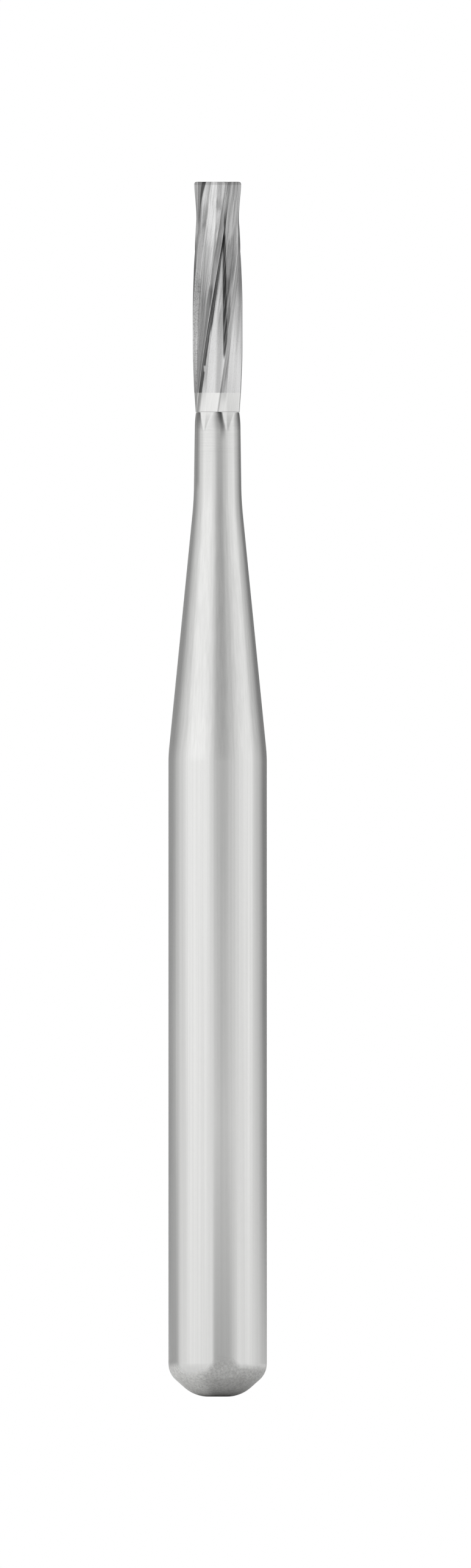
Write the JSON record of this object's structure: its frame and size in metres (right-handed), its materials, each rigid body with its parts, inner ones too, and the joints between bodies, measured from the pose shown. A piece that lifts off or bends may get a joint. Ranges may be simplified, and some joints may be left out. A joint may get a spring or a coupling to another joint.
{
  "type": "dental bur",
  "caption": "Straight fissure dental bur: a slim carbide head with plain right-hand spiral blades, brazed to a steel neck, long cone and smooth friction-grip shank.",
  "frame": {"origin": "on the bur's axis at the flat of the shank's tail, which stands on Z = 0", "axes": "+Z along the bur's axis from the tail to the cutting tip. -Y is the side that faces the camera in the picture, +X is to the right in it."},
  "size_m": [0.0016, 0.0016, 0.0197],
  "materials": {
    "carbide": "ground tungsten carbide",
    "steel": "ground stainless steel"
  },
  "bodies": {
    "root": {"carbide_head": "carbide", "steel_shank": "steel"}
  },
  "joints": []
}
